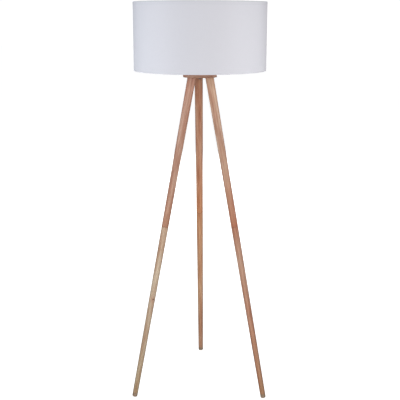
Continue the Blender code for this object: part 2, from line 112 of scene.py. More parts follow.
# ---- sizes that only the looks need ---------------------------------------------------
LIP = 0.0003                 # smallest gap kept between pieces
LEG_TOP_RADIUS = 0.0160
LEG_FOOT_RADIUS = 0.01025
BROKEN_EDGE = 0.0006         # flat that breaks a sharp corner
JOINT_ROUND = 0.0005         # rounding of the two edges that meet at a leg's joint
NUT_FLATS = 0.014            # hexagon nuts on the stem, across flats
STEM_BORE = radius_of("stem_tube") + LIP
STEM_WASHER_BORE = 0.0053
BOLT_HOLE = 0.0043           # clearance round a leg bolt
SPINDLE_HOLE = 0.0033        # clearance round the switch spindle
CUP_WALL = 0.0022            # lampholder cup
SOCKET_PITCH = 0.00363       # screw thread of the bulb and its socket
BRASS_SHEET = 0.0004         # sheet of the socket's shell and contact
CLOTH = 0.0005               # fabric thickness
LINER = 0.0003               # lining thickness
RING_WIRE = 0.0030           # wire inside the rolled hems
ARM_WIRE = 0.0030            # wire of the fitter's arms
HEM = 0.014                  # width of the fabric turned in at each rim
SEAM_ANGLE = math.radians(96)    # overlap seam, at the back
SEAM_WIDTH = 0.014
THREAD_PITCH = 0.0011        # spacing of the shade fabric's threads


# ---- mesh tools -----------------------------------------------------------------------
def rotation(degrees, axis):
    return Matrix.Rotation(math.radians(degrees), 4, axis)


def mesh_object(name, points, faces, material, matrix=None, sharp=35, leaning=False):
    """A smooth mesh piece. A leaning piece keeps its place in its mesh, so its box is exact."""
    matrix = matrix or Matrix.Translation(AXIS)
    mesh = bpy.data.meshes.new(name)
    mesh.from_pydata([tuple(point) for point in points], [], faces)
    if leaning:
        mesh.transform(matrix)
    mesh.validate()
    mesh.shade_smooth()
    mesh.set_sharp_from_angle(angle=math.radians(sharp))
    mesh.materials.append(material)
    obj = bpy.data.objects.new(name, mesh)
    bpy.context.scene.collection.objects.link(obj)
    if not leaning:
        obj.matrix_world = matrix
    return obj


def finish_piece(obj, body, slot, *nodes):
    """The piece rides on a CAD body and stands for CAD nodes, which it hides. The slot argument is not
    used.
    """
    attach(obj, body)
    if nodes:
        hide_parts(*nodes)


def fillet(corners, closed=False, steps=4):
    """A profile from (radius, height, rounding) corners, each corner rounded."""
    points = []
    count = len(corners)
    for index, (x, z, size) in enumerate(corners):
        here = Vector((x, z))
        at_end = not closed and index in (0, count - 1)
        if size <= 0 or at_end:
            points.append((x, z))
            continue
        before = Vector(corners[index - 1][:2]) - here
        after = Vector(corners[(index + 1) % count][:2]) - here
        reach = min(size, before.length * 0.49, after.length * 0.49)
        start = here + before.normalized() * reach
        end = here + after.normalized() * reach
        for step in range(steps + 1):
            t = step / steps
            point = start * (1 - t) ** 2 + here * 2 * t * (1 - t) + end * t ** 2
            points.append((point.x, point.y))
    return points


def ribbon(path, thickness):
    """Closed profile of a sheet of even thickness that follows an open path."""
    path = np.array(path)
    along = np.gradient(path, axis=0)
    along /= np.linalg.norm(along, axis=1)[:, None]
    across = np.stack([-along[:, 1], along[:, 0]], axis=1) * thickness / 2
    return [tuple(p) for p in path + across] + [tuple(p) for p in (path - across)[::-1]]


def rows(profile, spacing):
    """The same profile with no step longer than the spacing."""
    points = [profile[0]]
    for (x0, z0), (x1, z1) in zip(profile, profile[1:]):
        parts = max(1, math.ceil(math.hypot(x1 - x0, z1 - z0) / spacing))
        points += [(x0 + (x1 - x0) * i / parts, z0 + (z1 - z0) * i / parts) for i in range(1, parts + 1)]
    return points


def lathe(name, profile, material, closed=False, segments=96, warp=None, matrix=None, sharp=35,
          leaning=False):
    """Turn (radius, height) points about local Z. They run down the outer side.
    warp(angle, radius, height) gives a point its own radius and height."""
    points = []
    rings = []
    for radius, height in profile:
        if radius < 1e-9:
            rings.append([len(points)] * segments)
            points.append((0, 0, warp(0, 0, height)[1] if warp else height))
            continue
        rings.append(list(range(len(points), len(points) + segments)))
        for step in range(segments):
            angle = 2 * math.pi * step / segments
            r, z = warp(angle, radius, height) if warp else (radius, height)
            points.append((r * math.cos(angle), r * math.sin(angle), z))
    following = rings[1:] + (rings[:1] if closed else [])
    faces = []
    for upper, lower in zip(rings, following):
        for i in range(segments):
            j = (i + 1) % segments
            face = list(dict.fromkeys((upper[i], lower[i], lower[j], upper[j])))
            if len(face) > 2:
                faces.append(face)
    return mesh_object(name, points, faces, material, matrix, sharp, leaning)


def turned(name, profile, body, slot, *nodes, look=None, holes=(), **shape):
    """A finished piece, turned from a profile, in the look of its slot."""
    piece = lathe(name, profile, LOOK[look or slot], **shape)
    if holes:
        cut_holes(piece, holes)
    finish_piece(piece, body, slot, *nodes)
    return piece


def thread(pitch, depth, bottom, top, outside_of):
    """Warp that cuts a round screw thread between two levels, outside a radius."""
    def warp(angle, radius, height):
        fade = min(1.0, (height - bottom) / pitch, (top - height) / pitch)
        if radius <= outside_of or fade <= 0:
            return radius, height
        wave = 0.5 - 0.5 * math.cos(2 * math.pi * (height / pitch - angle / (2 * math.pi)))
        return radius - depth * wave * fade, height
    return warp


def ribs(count, depth, outside_of, bottom=-1e9, top=1e9):
    """Warp that presses upright grip ribs into the outer surface."""
    def warp(angle, radius, height):
        if radius < outside_of or not bottom < height < top:
            return radius, height
        wave = abs(math.sin(count * angle / 2))
        return radius - depth * (1 - wave) ** 2, height
    return warp


def hexagon(across_flats, angle):
    """Distance from the centre of a hexagon to its side at an angle."""
    turn = math.radians(60)
    return across_flats / 2 / math.cos((angle % turn) - turn / 2)


def tube(name, route, radius, material):
    """A wire of even thickness along a route of points, with rounded ends."""
    sides = 16
    tangents = [(b - a).normalized() for a, b in zip(route, route[1:])]
    bends = [(a + b).normalized() for a, b in zip(tangents, tangents[1:])]
    tangents = [tangents[0]] + bends + [tangents[-1]]
    side = tangents[0].cross(Vector((0.13, 0.31, 0.94))).normalized()
    sections = []
    for point, tangent in zip(route, tangents):
        side = (side - tangent * side.dot(tangent)).normalized()
        sections.append((point, side, tangent.cross(side), radius))
    for end, sign in ((0, -1), (-1, 1)):
        point, u, v = sections[end][:3]
        extra = [(point + tangents[end] * sign * radius * math.sin(t), u, v, radius * math.cos(t))
                 for t in (0.5, 1.0, 1.35)]
        sections = extra[::-1] + sections if end == 0 else sections + extra
    points = []
    for point, u, v, r in sections:
        for step in range(sides):
            angle = 2 * math.pi * step / sides
            points.append(point + (u * math.cos(angle) + v * math.sin(angle)) * r)
    faces = [list(range(sides))[::-1], list(range(len(points) - sides, len(points)))]
    for row in range(len(sections) - 1):
        for i in range(sides):
            j = (i + 1) % sides
            a = row * sides
            faces.append([a + i, a + j, a + sides + j, a + sides + i])
    return mesh_object(name, points, faces, material, sharp=50)


def smooth_route(corners, count=6):
    """Catmull-Rom curve through the corners, in a number of steps between each two."""
    points = [Vector(corner) for corner in corners]
    points = [points[0] * 2 - points[1]] + points + [points[-1] * 2 - points[-2]]
    route = []
    for a, b, c, d in zip(points, points[1:], points[2:], points[3:]):
        for step in range(count):
            t = step / count
            route.append((b * 2 + (c - a) * t + (a * 2 - b * 5 + c * 4 - d) * t * t
                          + (b * 3 - a - c * 3 + d) * t ** 3) / 2)
    return route + [points[-2]]


def cut_holes(obj, cutters):
    """Subtract the cutters from the piece, then remove them."""
    for cutter in cutters:
        hole = obj.modifiers.new("Hole", "BOOLEAN")
        hole.operation = "DIFFERENCE"
        hole.object = cutter
    bpy.context.view_layer.update()
    depsgraph = bpy.context.evaluated_depsgraph_get()
    mesh = bpy.data.meshes.new_from_object(obj.evaluated_get(depsgraph))
    obj.modifiers.clear()
    obj.data = mesh
    mesh.shade_smooth()
    mesh.set_sharp_from_angle(angle=math.radians(35))
    for cutter in cutters:
        bpy.data.objects.remove(cutter)


def drill(radius, bottom, top, matrix, segments):
    """A plain cylinder to cut a hole with."""
    profile = [(0, top), (radius, top), (radius, bottom), (0, bottom)]
    return lathe("cutter", profile, None, segments=segments, matrix=matrix)


# ---- materials ------------------------------------------------------------------------
class Surface:
    """A node material: adds nodes, links them, and sets the shader's own values."""

    def __init__(self, name, **values):
        self.material = bpy.data.materials.new(name)
        self.material.use_nodes = True
        self.tree = self.material.node_tree
        self.shader = self.tree.nodes["Principled BSDF"]
        self.position = self.tree.nodes.new("ShaderNodeTexCoord").outputs["Object"]
        for key, value in values.items():
            self.shader.inputs[key.replace("_", " ")].default_value = value

    def node(self, kind, inputs=None, **settings):
        made = self.tree.nodes.new("ShaderNode" + kind)
        for key, value in settings.items():
            setattr(made, key, value)
        for key, value in (inputs or {}).items():
            self.put(made.inputs[key], value)
        return made

    def put(self, socket, value):
        if isinstance(value, bpy.types.NodeSocket):
            self.tree.links.new(value, socket)
        else:
            socket.default_value = (*value, 1) if socket.type == "RGBA" else value

    def place(self, scale, turn=(0, 0, 0), offset=(0, 0, 0)):
        """Object coordinates, turned, then scaled to cells per metre."""
        turned = self.node("Mapping", {"Vector": self.position, "Rotation": turn})
        return self.node("Mapping", {"Vector": turned.outputs[0], "Scale": scale,
                                     "Location": offset}).outputs[0]

    def noise(self, vector, detail=2.0, roughness=0.5):
        return self.node("TexNoise", {"Vector": vector, "Scale": 1.0, "Detail": detail,
                                      "Roughness": roughness}).outputs["Fac"]

    def speckle(self, cells, detail=2.0, roughness=0.5):
        """Noise with a number of cells per metre, the same along all three axes."""
        return self.noise(self.place((cells,) * 3), detail, roughness)

    def math(self, operation, a, b=0.0):
        return self.node("Math", {0: a, 1: b}, operation=operation).outputs[0]

    def ramp(self, value, *stops):
        """Colour or grey ramp from (position, colour) stops."""
        made = self.node("ValToRGB", {"Fac": value})
        elements = made.color_ramp.elements
        while len(elements) < len(stops):
            elements.new(0.5)
        for element, (position, colour) in zip(elements, stops):
            element.position = position
            element.color = (*colour, 1) if isinstance(colour, tuple) else (colour,) * 3 + (1,)
        return made.outputs[0]

    def mix(self, amount, a, b, blend="MIX"):
        return self.node("Mix", {"Factor": amount, "A": a, "B": b}, data_type="RGBA",
                         blend_type=blend).outputs["Result"]

    def range(self, value, low_in, high_in, low_out=0.0, high_out=1.0):
        return self.node("MapRange", {"Value": value, "From Min": low_in, "From Max": high_in,
                                      "To Min": low_out, "To Max": high_out}).outputs[0]

    def stain(self, base, colour, value, full, none, strength):
        """Darken the base by a colour, strongest at one value and not at all at another."""
        return self.mix(self.range(value, full, none, strength, 0.0), base, colour, "MULTIPLY")

    def bump(self, height, strength, distance):
        made = self.node("Bump", {"Height": height, "Strength": strength, "Distance": distance})
        self.put(self.shader.inputs["Normal"], made.outputs[0])

    def colour(self, socket):
        self.put(self.shader.inputs["Base Color"], socket)

    def rough(self, noise, at_low, at_high):
        """Roughness that follows a noise between two values."""
        self.put(self.shader.inputs["Roughness"], self.range(noise, 0.3, 0.7, at_low, at_high))


def wood(board, seed, tones):
    """Wood of one leg section, its tone changing up the leg and darkest at the joint."""
    side, section = board.split("_")
    bottom, top = section_ends(side, section)
    s = Surface(f"oak_{board}", IOR=1.45, Specular_IOR_Level=0.22)
    to_leg = leg_frame(side).inverted()
    s.position = s.node("Mapping", {"Vector": s.position, "Location": to_leg.to_translation(),
                                    "Rotation": to_leg.to_euler()}).outputs[0]
    height = s.node("SeparateXYZ", {"Vector": s.position}).outputs["Z"]
    base = s.ramp(s.range(height, bottom, top), *tones)
    to_joint = s.math("ABSOLUTE", s.math("SUBTRACT", height, joint_along(side)))
    grained = wood_grain(s, base, seed)
    if board in PIN_KNOTS:
        grained = pin_knot(s, grained, PIN_KNOTS[board])
    s.colour(s.stain(grained, END_GRAIN, to_joint, 0.0004, 0.0014, 0.55))
    return s.material


def pin_knot(s, base, place):
    """Small dark knot in the wood, in a warmer patch."""
    away = s.node("VectorMath", {0: s.position, 1: place}, operation="DISTANCE").outputs["Value"]
    warmed = s.stain(base, (0.98, 0.84, 0.84), away, 0.004, 0.018, 0.8)
    return s.stain(warmed, (0.22, 0.12, 0.09), away, 0.0024, 0.0040, 0.95)


def plate_wood(seed, light, dark):
    """Wood of the head plate, with its grain along X. Its tones are darker than the legs' wood, partly
    as painted shade from the lampshade above.
    """
    s = Surface("oak_head_plate", IOR=1.45, Specular_IOR_Level=0.22)
    middle = centre_of("head_plate").z
    s.position = s.node("Mapping", {"Vector": s.position, "Location": (middle, 0, 0),
                                    "Rotation": (0, math.radians(-90), 0)}).outputs[0]
    cloud = s.noise(s.place((30, 30, 12)))
    s.colour(wood_grain(s, s.mix(s.range(cloud, 0.35, 0.65), light, dark), seed))
    return s.material


def wood_grain(s, base, seed):
    """Light straight grain over a base colour. Local Z runs along the board. The growth
    rings are cylinders round a pith outside the board that leans a little against it, so
    their lines run out into long flames on a turned surface."""
    turn = (0, 0, seed * 1.7)
    shift = (seed * 3.1, seed * 5.3, seed * 0.7)

    def grain(cells, detail=2.0, roughness=0.5):
        return s.noise(s.place(cells, turn, shift), detail, roughness)
    waver = grain((18, 18, 2.2))
    bands = grain((95, 75, 7.5), 2.5, 0.55)
    streaks = grain((260, 260, 5.0))
    fibre = grain((1500, 1500, 14), 3.0, 0.65)
    pores = grain((3200, 3200, 110), 1.0)

    pith = (0.045, 0.030, 0)
    lean = (math.radians(0.9), math.radians(0.6), seed * 1.7)
    board = s.node("SeparateXYZ", {"Vector": s.place((1, 1, 1), lean, pith)})
    away = s.math("SQRT", s.math("ADD", s.math("POWER", board.outputs["X"], 2.0),
                                 s.math("POWER", board.outputs["Y"], 2.0)))
    wavering = s.math("ADD", away, s.math("MULTIPLY", waver, 0.010))
    season = s.math("FRACT", s.math("DIVIDE", wavering, RING_SPACING))

    patches = s.ramp(bands, (0.30, (0.66, 0.52, 0.46)), (0.44, (0.82, 0.69, 0.64)),
                     (0.54, (0.90, 0.86, 0.84)), (0.70, (1.0, 1.0, 1.0)))
    patched = s.mix(1.0, base, patches, "MULTIPLY")
    streaked = s.stain(patched, (0.62, 0.45, 0.37), streaks, 0.38, 0.62, 0.35)
    latewood = s.ramp(season, (0.0, 0.0), (0.55, 0.12), (0.90, 0.42), (1.0, 0.0))
    ringed = s.mix(latewood, streaked, (0.60, 0.44, 0.36), "MULTIPLY")
    fibred = s.stain(ringed, (0.62, 0.48, 0.40), fibre, 0.35, 0.65, 0.26)
    pored = s.stain(fibred, (0.45, 0.30, 0.24), pores, 0.30, 0.38, 0.40)
    s.rough(fibre, 0.62, 0.50)
    relief = s.math("ADD", s.math("MULTIPLY", fibre, 0.5), s.range(pores, 0.30, 0.38, 0.0, 0.5))
    s.bump(relief, 0.25, 0.0002)
    return pored


def rubber():
    """Brown rubber with a fine matt grain and lighter patches of dust."""
    s = Surface("rubber", IOR=1.5, Specular_IOR_Level=0.3)
    grain = s.speckle(900, 3.0)
    dust = s.noise(s.place((90, 90, 60)), detail=3.0, roughness=0.7)
    s.colour(s.mix(s.range(dust, 0.4, 0.7, 0.0, 0.5), (0.235, 0.160, 0.105), (0.33, 0.255, 0.19)))
    s.rough(dust, 0.68, 0.85)
    s.bump(grain, 0.3, 0.0002)
    return s.material


def painted_steel():
    """Dark grey satin coating with a fine orange-peel texture."""
    s = Surface("satin_dark_steel", Metallic=0.3, IOR=1.5)
    peel = s.speckle(700)
    cloud = s.speckle(25, 3.0)
    tones = (0.034, 0.030, 0.027), (0.050, 0.044, 0.039)
    s.colour(s.mix(s.range(cloud, 0.35, 0.65), *tones))
    s.rough(cloud, 0.36, 0.46)
    s.bump(peel, 0.15, 0.0001)
    return s.material


def metal(name, colour, stain, roughness):
    """Bare or plated metal with fine drawn lines and slight staining."""
    s = Surface(name, Metallic=1.0)
    lines = s.noise(s.place((1500, 1500, 60)))
    cloud = s.speckle(120, 4.0, 0.6)
    s.colour(s.mix(s.range(cloud, 0.4, 0.75, 0.0, 0.6), colour, stain))
    s.rough(lines, roughness - 0.06, roughness + 0.08)
    s.bump(lines, 0.10, 0.0001)
    return s.material


def moulded(name, colour, roughness, texture=1100, variation=0.12):
    """Moulded plastic: faint spark texture, slight tone and gloss variation."""
    s = Surface(name, IOR=1.5)
    grain = s.speckle(texture)
    cloud = s.speckle(60, 3.0)
    lighter = tuple(min(1.0, c * (1 + variation) + 0.004) for c in colour)
    s.colour(s.mix(s.range(cloud, 0.35, 0.7), colour, lighter))
    s.rough(cloud, roughness - 0.05, roughness + 0.06)
    s.bump(grain, 0.12, 0.0001)
    return s.material


def woven(tint, shadow):
    """The shade's plain-weave fabric. The map runs round the shade and up it, in metres."""
    s = Surface("shade_fabric", Roughness=0.95, Specular_IOR_Level=0.15)
    around, up = cloth_coordinates(s)
    wobble = s.math("MULTIPLY", s.speckle(35), 3.0)
    slub_up = s.noise(stretch(s, around, up, 1 / THREAD_PITCH, 30))
    slub_round = s.noise(stretch(s, around, up, 30, 1 / THREAD_PITCH))
    turns = 2 * math.pi / THREAD_PITCH
    warp_wave = s.math("SINE", s.math("ADD", s.math("MULTIPLY", around, turns), wobble))
    weft_wave = s.math("SINE", s.math("ADD", s.math("MULTIPLY", up, turns), wobble))
    over = s.math("MULTIPLY", warp_wave, weft_wave)
    gaps = s.math("MULTIPLY", s.math("ABSOLUTE", warp_wave), s.math("ABSOLUTE", weft_wave))
    slubs = s.math("MAXIMUM", slub_up, slub_round)
    lighter = tuple(min(1, c * 1.06) for c in tint)
    tone = s.mix(s.range(slubs, 0.45, 0.75, 0.0, 0.35), tint, lighter)
    woven_tone = s.mix(s.range(gaps, 0.0, 0.35, 0.22, 0.0), tone, shadow)
    # Painted shade: the band of the turned-in hem below the top rim is darker.
    hem_edge = SHADE_HIGH.z - HEM
    s.colour(s.stain(woven_tone, HEM_PAINTED_SHADE, up, hem_edge + 0.001, hem_edge, 1.0))
    height = s.math("ADD", s.math("MULTIPLY", over, 0.25),
                    s.math("ADD", s.math("MULTIPLY", gaps, 0.5), s.math("MULTIPLY", slubs, 0.6)))
    s.bump(height, 0.35, 0.0002)
    return s.material


def cloth_coordinates(s):
    """Distance round the shade's axis and height, from object coordinates."""
    split = s.node("SeparateXYZ", {"Vector": s.position})
    angle = s.math("ARCTAN2", split.outputs["Y"], split.outputs["X"])
    return s.math("MULTIPLY", angle, SHADE_RADIUS), split.outputs["Z"]


def stretch(s, around, up, per_metre_round, per_metre_up):
    made = s.node("CombineXYZ")
    s.put(made.inputs["X"], s.math("MULTIPLY", around, per_metre_round))
    s.put(made.inputs["Y"], s.math("MULTIPLY", up, per_metre_up))
    return made.outputs[0]


def opal():
    """Milky diffuser of the bulb's globe."""
    s = Surface("opal_diffuser", IOR=1.5, Subsurface_Weight=0.25, Subsurface_Scale=0.01,
                Subsurface_Radius=(1.0, 0.95, 0.9))
    cloud = s.speckle(50)
    s.colour(s.mix(cloud, (0.80, 0.80, 0.78), (0.86, 0.86, 0.84)))
    s.rough(cloud, 0.26, 0.34)
    return s.material


RING_SPACING = 0.0036                # growth rings of the wood
END_GRAIN = (0.42, 0.30, 0.24)       # the broken edges at a joint take the finish darker
HEM_PAINTED_SHADE = (0.965, 0.965, 0.965)     # painted shade: the fabric is a little darker over the turned-in top hem
PIN_KNOTS = {"left_lower": (0.0012, 0.0120, 0.4075)}     # in the leg's own frame, from its foot
# The palest tone of each section's wood, from its lower end up. The tones differ from board to board,
# most sections are darker at their lower end, and the back leg's upper section darkens towards its top
# as painted shade under the plate and the lampshade.
WOOD_TONES_AND_SHADE = {
    "left_lower": ((0.0, (0.45, 0.36, 0.23)), (0.4, (0.58, 0.52, 0.4)), (1.0, (0.6, 0.49, 0.37))),
    "left_upper": ((0.0, (0.49, 0.28, 0.19)), (0.4, (0.55, 0.39, 0.31)), (1.0, (0.54, 0.34, 0.26))),
    "right_lower": ((0.0, (0.41, 0.24, 0.14)), (0.4, (0.49, 0.28, 0.19)), (0.8, (0.53, 0.36, 0.27)),
                    (1.0, (0.51, 0.29, 0.2))),
    "right_upper": ((0.0, (0.51, 0.25, 0.16)), (0.4, (0.54, 0.37, 0.27)), (0.62, (0.63, 0.49, 0.39)),
                    (1.0, (0.6, 0.42, 0.3))),
    "back_lower": ((0.0, (0.55, 0.37, 0.26)), (0.5, (0.6, 0.4, 0.25)), (1.0, (0.6, 0.35, 0.2))),
    # The darker top end of this section is painted shade under the plate and the lampshade.
    "back_upper": ((0.0, (0.58, 0.3, 0.16)), (0.5, (0.52, 0.32, 0.22)), (1.0, (0.42, 0.24, 0.15))),
}


METALS = {                           # colour, colour of its stains, roughness
    "zinc_steel": ((0.33, 0.32, 0.30), (0.25, 0.23, 0.21), 0.42),
    "brass": ((0.70, 0.50, 0.22), (0.48, 0.33, 0.14), 0.30),
    "nickel": ((0.68, 0.66, 0.62), (0.55, 0.53, 0.50), 0.24),
}
MOULDED = {                          # colour, roughness, cells of texture, change of tone
    "black_plastic": ((0.022, 0.022, 0.023), 0.42),
    "white_plastic": ((0.80, 0.80, 0.79), 0.38),
    "ceramic": ((0.76, 0.74, 0.70), 0.55, 500),
    "light_board": ((0.75, 0.75, 0.72), 0.50),
    "white_wire": ((0.74, 0.74, 0.74), 0.36, 900),
    "shade_liner": ((0.82, 0.82, 0.83), 0.48, 400, 0.03),
}
LOOK = {"rubber": rubber(), "satin_dark_steel": painted_steel(), "opal_diffuser": opal(),
        "shade_fabric": woven((0.612, 0.606, 0.644), (0.475, 0.474, 0.511)),
        "oak_head_plate": plate_wood(6.1, (0.43, 0.265, 0.19), (0.37, 0.22, 0.155))}
LOOK.update({key: metal(key, *values) for key, values in METALS.items()})
LOOK.update({key: moulded(key, *values) for key, values in MOULDED.items()})
for count, (board_name, wood_tones_and_shade) in enumerate(WOOD_TONES_AND_SHADE.items()):
    LOOK[f"oak_{board_name}"] = wood(board_name, 1.0 + 0.7 * count, wood_tones_and_shade)


# ---- legs and feet --------------------------------------------------------------------
def level_cut(matrix, level, from_height):
    """Warp that moves the points above a height on to a level plane, with a broken edge."""
    a, b, c, d = matrix[2]

    def warp(angle, radius, height):
        if height < from_height:
            return radius, height
        flat = (level - d - a * radius * math.cos(angle) - b * radius * math.sin(angle)) / c
        return radius, flat - (BROKEN_EDGE if radius == LEG_TOP_RADIUS else 0)
    return warp


def make_leg_section(side, section):
    """One turned section of a tapered leg, its ends broken where it meets the other."""
    matrix = leg_frame(side)
    level = high(f"leg_upper_{side}")
    length = (level - matrix[2][3]) / matrix[2][2]
    bottom, top = section_ends(side, section)

    def taper(along):
        return LEG_FOOT_RADIUS + (LEG_TOP_RADIUS - LEG_FOOT_RADIUS) * along / length
    end = 0.001                        # length of the rounded edge's zone at the joint
    last = bottom + end
    lower_end = fillet([(taper(last), last, 0), (taper(bottom), bottom, JOINT_ROUND),
                        (0, bottom, 0)])[1:]
    if section == "upper":
        beyond = length + 0.1          # the points up here come down on to the level cut
        start = length - 0.010
        profile = [(0, beyond), (LEG_TOP_RADIUS - BROKEN_EDGE, beyond), (LEG_TOP_RADIUS, beyond)]
        warp = level_cut(matrix, level, beyond)
    else:
        start = top - end
        profile = fillet([(0, top, 0), (taper(top), top, JOINT_ROUND), (taper(start), start, 0)])[:-1]
        warp = None
    profile += rows([(taper(start), start), (taper(last), last)], 0.02)
    turned(f"turned_{section}_leg_{side}", profile + lower_end, "stand", "oak",
           f"leg_{section}_{side}", look=f"oak_{side}_{section}", segments=64, warp=warp,
           matrix=matrix, leaning=True)


def make_foot(side):
    """Rubber tip with a fine moulding groove, cut flat where it stands."""
    matrix = leg_frame(side)
    radius = LEG_FOOT_RADIUS
    top = (matrix.inverted() @ centre_of(f"foot_pin_{side}")).z
    under = -0.0008                    # pressed flat by the floor
    groove = radius - 0.0005
    wall = fillet([(0, top, 0), (radius, top, 0.0007), (radius, top - 0.0032, 0.0003),
                   (groove, top - 0.0035, 0.0002), (groove, top - 0.0042, 0.0002),
                   (radius, top - 0.0045, 0.0003), (radius, under, 0.00765), (0, under, 0)], steps=8)
    a, b, c, d = matrix[2]

    def stand_flat(angle, r, z):
        world = a * r * math.cos(angle) + b * r * math.sin(angle) + c * z + d
        return (r, z - world / c) if world < 0 else (r, z)
    turned(f"rubber_tip_{side}", rows(wall, 0.0012), "stand", "rubber", f"foot_tip_{side}",
           segments=64, warp=stand_flat, matrix=matrix, leaning=True)


# ---- head plate, stem and fasteners ---------------------------------------------------
def make_plate():
    """Round wooden plate, drilled for the stem and the three leg bolts."""
    radius, top, bottom = round_box("head_plate")
    rim_round = 0.0022
    profile = fillet([(radius, top, rim_round), (radius, bottom, rim_round),
                      (STEM_BORE, bottom, BROKEN_EDGE), (STEM_BORE, top, BROKEN_EDGE)],
                     closed=True, steps=6)
    holes = [drill(BOLT_HOLE, bottom - 0.01, top + 0.01, post(f"leg_bolt_{side}"), 48)
             for side in SIDES]
    turned("turned_head_plate", profile, "stand", "oak", "head_plate", look="oak_head_plate",
           holes=holes, closed=True, segments=160)


def post(node):
    """Upright frame on a node's own axis."""
    centre = centre_of(node)
    return Matrix.Translation((centre.x, centre.y, 0))


def make_washer(name, node, inner, matrix=None):
    """Stamped washer: rounder at its upper edges, where the punch entered."""
    radius, top, bottom = round_box(node)
    profile = fillet([(radius, top, 0.0004), (radius, bottom, 0.0002), (inner, bottom, 0.0002),
                      (inner, top, 0.0004)], closed=True)
    turned(name, profile, "stand", "satin_dark_steel", node, closed=True, segments=64, matrix=matrix)


def make_bolt(side):
    """Button-head bolt with a hexagonal socket."""
    node = f"leg_bolt_{side}"
    head, crown, end = round_box(node)
    seat = high(f"leg_washer_{side}") + LIP
    shank = 0.0040
    socket = 0.0024
    floor = crown - 0.0026
    profile = [(0, floor)] + rows([(socket, floor), (socket, crown - 0.0001)], 0.0006)
    profile += fillet([(socket + 0.0004, crown, 0), (0.0045, crown, 0.0006),
                       (0.0062, crown - 0.0018, 0.0012), (head, seat + 0.0008, 0.0006),
                       (head, seat, 0.0003), (shank, seat, 0)], steps=5)
    profile += rows([(shank, seat - 0.001), (shank, end + 0.001)], 0.0025)
    profile += [(shank - 0.0010, end), (0, end)]

    def warp(angle, radius, height):
        if radius <= socket and height > seat:
            return hexagon(2 * socket * 0.93, angle) * radius / socket, height
        return radius, height
    turned(f"socket_bolt_{side}", profile, "stand", "satin_dark_steel", node, segments=72,
           warp=warp, matrix=post(node))


def make_nut(name, node, slot):
    """Hexagonal nut whose corners are turned down at both ends."""
    top, bottom = levels(node)
    ring = NUT_FLATS / 2 * 0.95
    slope = math.tan(math.radians(28))
    mouth = 0.0004

    def warp(angle, radius, height):
        if radius < NUT_FLATS / 2:
            return radius, height
        side = hexagon(NUT_FLATS, angle)
        drop = (side - ring) * slope
        return side, (top - drop) if height > (top + bottom) / 2 else (bottom + drop)
    profile = [(ring, top), (NUT_FLATS, top), (NUT_FLATS, bottom), (ring, bottom),
               (STEM_BORE + mouth, bottom), (STEM_BORE, bottom + mouth),
               (STEM_BORE, top - mouth), (STEM_BORE + mouth, top)]
    turned(name, profile, "stand", slot, node, closed=True, segments=72, warp=warp, sharp=20)


def make_collar():
    """Spacer on the stem, its waist turned down a little."""
    radius, top, bottom = round_box("stem_collar")
    waist = radius - 0.0006
    profile = fillet([(radius, top, 0.0006), (radius, top - 0.003, 0.0003),
                      (waist, top - 0.0035, 0.0003), (waist, bottom + 0.0035, 0.0003),
                      (radius, bottom + 0.003, 0.0003), (radius, bottom, 0.0006),
                      (STEM_BORE, bottom, 0), (STEM_BORE, top, 0)], closed=True)
    turned("stem_spacer", profile, "stand", "satin_dark_steel", "stem_collar", closed=True, segments=72)


def make_gland():
    """Bushing in the stem's lower mouth, with a rounded rim for the cord to pass over."""
    rim, top, bottom = round_box("cord_gland")
    shoulder = low("stem_tube") - LIP
    sleeve = 0.0038
    throat = 0.0031
    profile = fillet([(sleeve, top, 0.0003), (sleeve, shoulder, 0), (rim, shoulder, 0.0002),
                      (rim, bottom, 0.0009), (throat, bottom, 0.0008), (throat, top, 0.0003)],
                     closed=True, steps=6)
    turned("cord_bushing", profile, "stand", "black_plastic", "cord_gland", closed=True, segments=64)


# ---- lampholder and switch ------------------------------------------------------------
def switch_frame():
    """Local Z points from the lamp's axis to the switch's knob."""
    knob = centre_of("switch_knob")
    return Matrix.Translation((knob.x, AXIS.y, knob.z)) @ rotation(90, "X")


def make_holder_cup():
    """Cup with three grip grooves and a boss for the switch."""
    radius, top, bottom = round_box("holder_cap")
    inner = radius - CUP_WALL
    inner_floor = bottom + CUP_WALL
    corners = [(radius, top, 0.0005)]
    for level in (top - 0.0030, top - 0.0050, top - 0.0070):
        corners += [(radius, level + 0.0005, 0.0001), (radius - 0.0005, level, 0.0002),
                    (radius, level - 0.0005, 0.0001)]
    corners += [(radius, bottom + 0.009, 0.002), (radius - 0.0015, bottom + 0.004, 0.002),
                (radius - 0.0055, bottom, 0.003), (STEM_BORE, bottom, 0.0003),
                (STEM_BORE, inner_floor, 0), (inner, inner_floor, 0.001), (inner, top, 0.0002)]
    hole = drill(SPINDLE_HOLE, radius - 0.006, radius + 0.01, switch_frame(), 40)
    turned("lampholder_cup", fillet(corners, closed=True, steps=5), "stand", "black_plastic",
           "holder_cap", holes=[hole], closed=True, segments=120)

    face, root = radius + 0.0034, radius - 0.0018
    boss = fillet([(0.0072, face, 0.0006), (0.0080, root, 0), (SPINDLE_HOLE, root, 0),
                   (SPINDLE_HOLE, face, 0.0002)], closed=True)
    turned("switch_boss", boss, "stand", "black_plastic", closed=True, segments=56,
           matrix=switch_frame())


def make_holder_body():
    """Sleeve with a coarse outer thread for the shade's clamping rings."""
    radius, top, bottom = round_box("holder_body")
    inner = radius - 0.002
    mouth = 0.0150
    shelf = bottom + 0.0015
    outside = rows([(radius, top - 0.0012), (radius, bottom + 0.0006)], 0.00035)
    profile = [(inner + 0.0005, top), (radius - 0.0011, top)] + outside
    profile += [(radius - 0.0006, bottom), (mouth, bottom), (mouth, shelf), (inner, shelf),
                (inner, top - 0.0005)]
    turned("lampholder_sleeve", profile, "stand", "black_plastic", "holder_body", closed=True,
           warp=thread(0.0025, 0.0007, bottom + 0.002, top - 0.001, radius - 0.0001), sharp=60)


